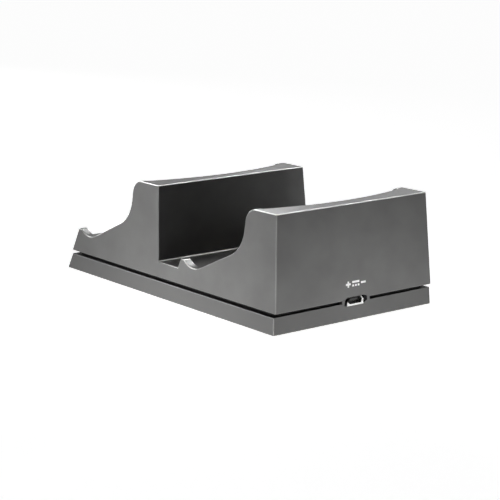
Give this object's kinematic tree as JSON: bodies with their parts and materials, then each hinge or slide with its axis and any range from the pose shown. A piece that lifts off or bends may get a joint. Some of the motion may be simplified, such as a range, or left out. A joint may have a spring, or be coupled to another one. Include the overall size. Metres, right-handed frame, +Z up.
{
  "type": "controller charging dock",
  "caption": "Low plastic dock that holds two game controllers one behind the other, each on two lipped cheeks against a hollow backrest, with a power inlet at the rear.",
  "frame": {"origin": "under the middle of the dock, on the surface that its feet stand on", "axes": "+Z up, -Y is the side that the controllers face, +Y is the rear with the power inlet, +X is the long side that the picture shows"},
  "size_m": [0.076, 0.1368, 0.0441],
  "materials": {
    "shell_plastic": "satin",
    "frame_plastic": "matte",
    "rubber": "matte",
    "screw_steel": "satin",
    "plated_steel": "bright",
    "gold_plate": "bright",
    "can_aluminium": "satin",
    "chip_plastic": "matte",
    "board": "satin",
    "clear_plastic": "gloss",
    "wire": "satin",
    "header_plastic": "satin"
  },
  "bodies": {
    "root": {"housing": "shell_plastic", "base": "shell_plastic", "chassis": "frame_plastic", "foot_front_left": "rubber", "foot_front_right": "rubber", "foot_rear_left": "rubber", "foot_rear_right": "rubber", "base_screws": "screw_steel", "board_screws": "screw_steel", "main_board": "board", "inlet_shell": "plated_steel", "inlet_tongue": "frame_plastic", "inlet_contacts": "gold_plate", "charge_chip_front": "chip_plastic", "charge_chip_rear": "chip_plastic", "power_coil": "chip_plastic", "capacitor": "can_aluminium", "front_plug": "frame_plastic", "rear_plug": "frame_plastic", "front_plug_contacts": "gold_plate", "rear_plug_contacts": "gold_plate", "front_board": "board", "rear_board": "board", "front_lamp": "clear_plastic", "rear_lamp": "clear_plastic", "front_light_pipe": "clear_plastic", "rear_light_pipe": "clear_plastic", "front_cable": "wire", "rear_cable": "wire", "header_main_front": "header_plastic", "header_main_rear": "header_plastic", "header_front_board": "header_plastic", "header_rear_board": "header_plastic"}
  },
  "joints": []
}
